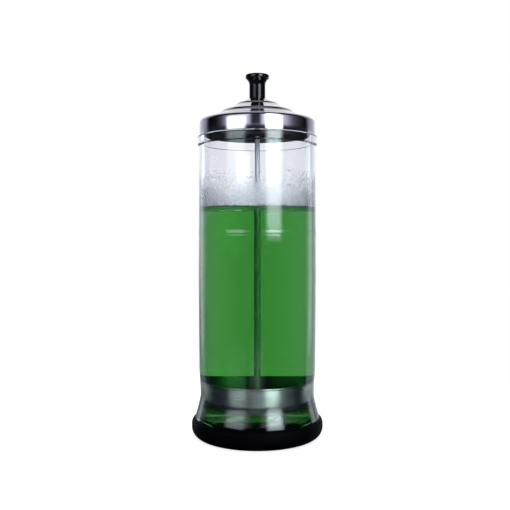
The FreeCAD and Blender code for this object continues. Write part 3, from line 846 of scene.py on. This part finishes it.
def buildWorld():
    world = bpy.data.worlds.new("studioAir")
    bpy.context.scene.world = world
    world.use_nodes = True
    tree = world.node_tree
    background = tree.nodes["Background"]
    coordinates = tree.nodes.new("ShaderNodeTexCoord")
    split = tree.nodes.new("ShaderNodeSeparateXYZ")
    tree.links.new(coordinates.outputs["Generated"], split.inputs[0])
    around, fromBack = anglesRound(tree, split)
    height = mathNode(tree, "DEGREES", mathNode(tree, "ARCSINE", split.outputs["Z"]))

    paper = colourByAngle(tree, fromBack, studio["paper"])
    room = tinted(tree, colourByAngle(tree, around, studio["room"]), studio["roomTint"])
    roomLow = rampBetween(tree, height, 0.0, 1.0, *studio["roomLow"])
    room = mixColours(tree, roomLow, studio["tableRoom"], room)
    dip = mathNode(tree, "MULTIPLY", isBetween(tree, around, *studio["dipSides"], studio["dipSoft"]),
                   rampBetween(tree, height, 0.0, studio["dip"], *studio["dipHeights"]))
    room = mixColours(tree, dip, room, (0, 0, 0, 1))
    side = rampBetween(tree, around, *studio["sideDim"], *studio["sideDimSpan"])
    high = rampBetween(tree, height, 0.0, 1.0, *studio["sideDimHeights"])
    dimmed = mixColours(tree, 1.0, paper, tinted(tree, side, (1.0, 1.0, 1.0)), "MULTIPLY")
    low = rampBetween(tree, height, 0.0, 1.0, *studio["paperLow"])
    dimmed = mixColours(tree, low, (0, 0, 0, 1), mixColours(tree, high, dimmed, paper))
    seen = mixColours(tree, 1.0, dimmed, room, "ADD")
    ceiling = rampBetween(tree, height, 0.0, 1.0, *studio["paperTop"])
    seen = mixColours(tree, ceiling, seen, mixColours(tree, studio["ceilingDark"], paper, studio["ceiling"]))
    overhead = rampBetween(tree, height, 0.0, 1.0, *studio["panelFrom"])
    seen = mixColours(tree, overhead, seen, studio["panel"])
    rise = rampBetween(tree, height, studio["glowLow"], 1.0, *studio["glowRise"])
    table = isBetween(tree, height, *studio["tableHeights"], studio["tableSoft"])
    edge = isBetween(tree, height, *studio["edgeHeights"], studio["edgeSoft"])
    lamp = isBetween(tree, height, *studio["lampHeights"], studio["lampSoft"])
    for box in (studio["leftBox"], studio["rightBox"]):
        across = isBetween(tree, around, box["from"], box["to"], box["soft"])
        upright = mathNode(tree, "MULTIPLY", rampBetween(tree, height, 0.0, box["glow"], *box["low"]),
                           rampBetween(tree, height, 1.0, 0.0, *box["top"]))
        upright = mathNode(tree, "ADD", mathNode(tree, "MULTIPLY", upright, rise),
                           mathNode(tree, "MULTIPLY", lamp, box["lamp"]))
        upright = mathNode(tree, "MULTIPLY", upright, across)
        acrossTable = isBetween(tree, around, box["tableFrom"], box["tableTo"], studio["tableSideSoft"])
        onTable = mathNode(tree, "MULTIPLY", mathNode(tree, "MULTIPLY", table, box["tableGlow"]), acrossTable)
        acrossEdge = isBetween(tree, around, box["edgeFrom"], box["edgeTo"], studio["edgeSideSoft"])
        onEdge = mathNode(tree, "MULTIPLY", mathNode(tree, "MULTIPLY", edge, box["edgeGlow"]), acrossEdge)
        strength = mathNode(tree, "ADD", upright, mathNode(tree, "ADD", onTable, onEdge))
        glow = tinted(tree, strength, studio["glow"])
        seen = mixColours(tree, 1.0, seen, glow, "ADD")

    rays = lightPath(tree)
    mirrored, straight = mirroredAndStraight(tree, rays)
    fill = (studio["fill"], studio["fill"], studio["fill"], 1)
    colour = mixColours(tree, mirrored, fill, seen)
    colour = mixColours(tree, straight, colour, backdrop(tree, fromBack, paper))
    colour = mixColours(tree, rays["Is Camera Ray"], colour, (1, 1, 1, 1))
    tree.links.new(colour, background.inputs["Color"])
    background.inputs["Strength"].default_value = 1.0


def buildFloor():
    selectNone()
    bpy.ops.mesh.primitive_circle_add(vertices=96, radius=studio["floorRadius"], fill_type="NGON")
    floor = bpy.context.object
    floor.name = "paperFloor"
    material = bpy.data.materials.new("paleFloor")
    material.use_nodes = True
    tree = material.node_tree
    shader = tree.nodes["Principled BSDF"]
    shader.inputs["Base Color"].default_value = studio["floorColour"]
    shader.inputs["Roughness"].default_value = 0.9
    shader.inputs["Specular IOR Level"].default_value = 0.0
    rays = lightPath(tree)
    mirrored, straight = mirroredAndStraight(tree, rays)
    coordinates = tree.nodes.new("ShaderNodeTexCoord")
    split = tree.nodes.new("ShaderNodeSeparateXYZ")
    tree.links.new(coordinates.outputs["Object"], split.inputs[0])
    fromBack = anglesRound(tree, split)[1]
    behind = backdrop(tree, fromBack, colourByAngle(tree, fromBack, studio["paper"]))
    tree.links.new(mixColours(tree, straight, (1, 1, 1, 1), behind), shader.inputs["Emission Color"])
    direct = mathNode(tree, "MULTIPLY", rays["Is Camera Ray"], studio["floorLight"])
    through = mathNode(tree, "MULTIPLY", straight, studio["floorThrough"])
    tree.links.new(mathNode(tree, "ADD", direct, through), shader.inputs["Emission Strength"])
    clear = tree.nodes.new("ShaderNodeBsdfTransparent")
    mix = tree.nodes.new("ShaderNodeMixShader")
    tree.links.new(mirrored, mix.inputs["Fac"])
    tree.links.new(shader.outputs[0], mix.inputs[1])
    tree.links.new(clear.outputs[0], mix.inputs[2])
    tree.links.new(mix.outputs[0], tree.nodes["Material Output"].inputs["Surface"])
    floor.data.materials.append(material)


# lights the rough surfaces only, the world shows it to the mirror-like ones
def buildBox(name, settings):
    middle = math.radians((settings["from"] + settings["to"]) / 2)
    half = math.radians((settings["to"] - settings["from"]) / 2)
    distance = studio["boxDistance"]
    selectNone()
    bpy.ops.mesh.primitive_plane_add(size=1.0)
    box = bpy.context.object
    box.name = name
    width = 2 * distance * math.tan(half)
    box.data.transform(Matrix.Diagonal((width, studio["boxHigh"] - studio["boxLow"], 1, 1)))
    box.data.transform(Matrix.Rotation(math.radians(90), 4, "X"))
    box.data.transform(Matrix.Rotation(middle, 4, "Z"))
    centreHeight = (studio["boxLow"] + studio["boxHigh"]) / 2
    centre = (distance * math.sin(middle), -distance * math.cos(middle), centreHeight)
    box.data.transform(Matrix.Translation(centre))
    material = bpy.data.materials.new(name + "Cloth")
    material.use_nodes = True
    tree = material.node_tree
    tree.nodes.remove(tree.nodes["Principled BSDF"])
    glow = tree.nodes.new("ShaderNodeEmission")
    glow.inputs["Strength"].default_value = studio["boxLight"]
    clear = tree.nodes.new("ShaderNodeBsdfTransparent")
    mix = tree.nodes.new("ShaderNodeMixShader")
    rays = lightPath(tree)
    mirrored, straight = mirroredAndStraight(tree, rays)
    unlit = mathNode(tree, "MAXIMUM", straight, mirrored)
    unseen = mathNode(tree, "MAXIMUM", rays["Is Camera Ray"], unlit)
    tree.links.new(unseen, mix.inputs["Fac"])
    tree.links.new(glow.outputs[0], mix.inputs[1])
    tree.links.new(clear.outputs[0], mix.inputs[2])
    tree.links.new(mix.outputs[0], tree.nodes["Material Output"].inputs["Surface"])
    box.data.materials.append(material)


buildWorld()
buildFloor()
buildBox("leftSoftbox", studio["leftBox"])
buildBox("rightSoftbox", studio["rightBox"])
bpy.context.scene.view_settings.view_transform = "Standard"
print("studio ready")
